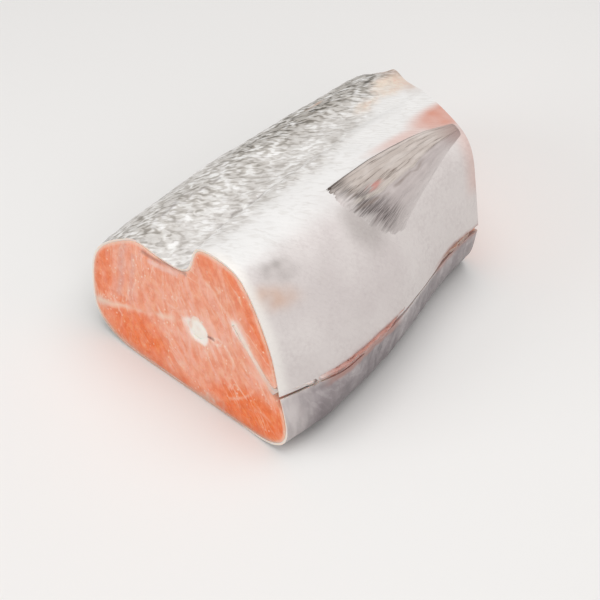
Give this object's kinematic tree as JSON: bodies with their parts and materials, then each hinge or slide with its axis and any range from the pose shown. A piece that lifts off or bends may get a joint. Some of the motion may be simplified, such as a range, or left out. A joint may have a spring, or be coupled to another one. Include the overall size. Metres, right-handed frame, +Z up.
{
  "type": "raw salmon chunk",
  "caption": "Raw bone-in salmon chunk, skin on, with orange flesh, backbone, slit belly and a folded pectoral fin, lying on its flank.",
  "frame": {"origin": "middle of the bottom of the bounding box, on the surface that the chunk lies on", "axes": "+Z up, +Y along the fish toward its head end, +X toward its belly and -X toward its back"},
  "size_m": [0.143, 0.211, 0.0808],
  "materials": {
    "flesh": "moist salmon-orange muscle with paler fibre arcs",
    "skin": "wet silvery white fish skin, olive-grey and scaly along the back",
    "bone": "sawn ivory-white backbone",
    "membrane": "moist whitish belly membrane",
    "fin": "translucent grey fin web with brownish rays"
  },
  "bodies": {
    "root": {"flesh": "flesh", "skin": "skin", "backbone": "bone", "belly_lining": "membrane", "pectoral_fin": "fin"}
  },
  "joints": []
}
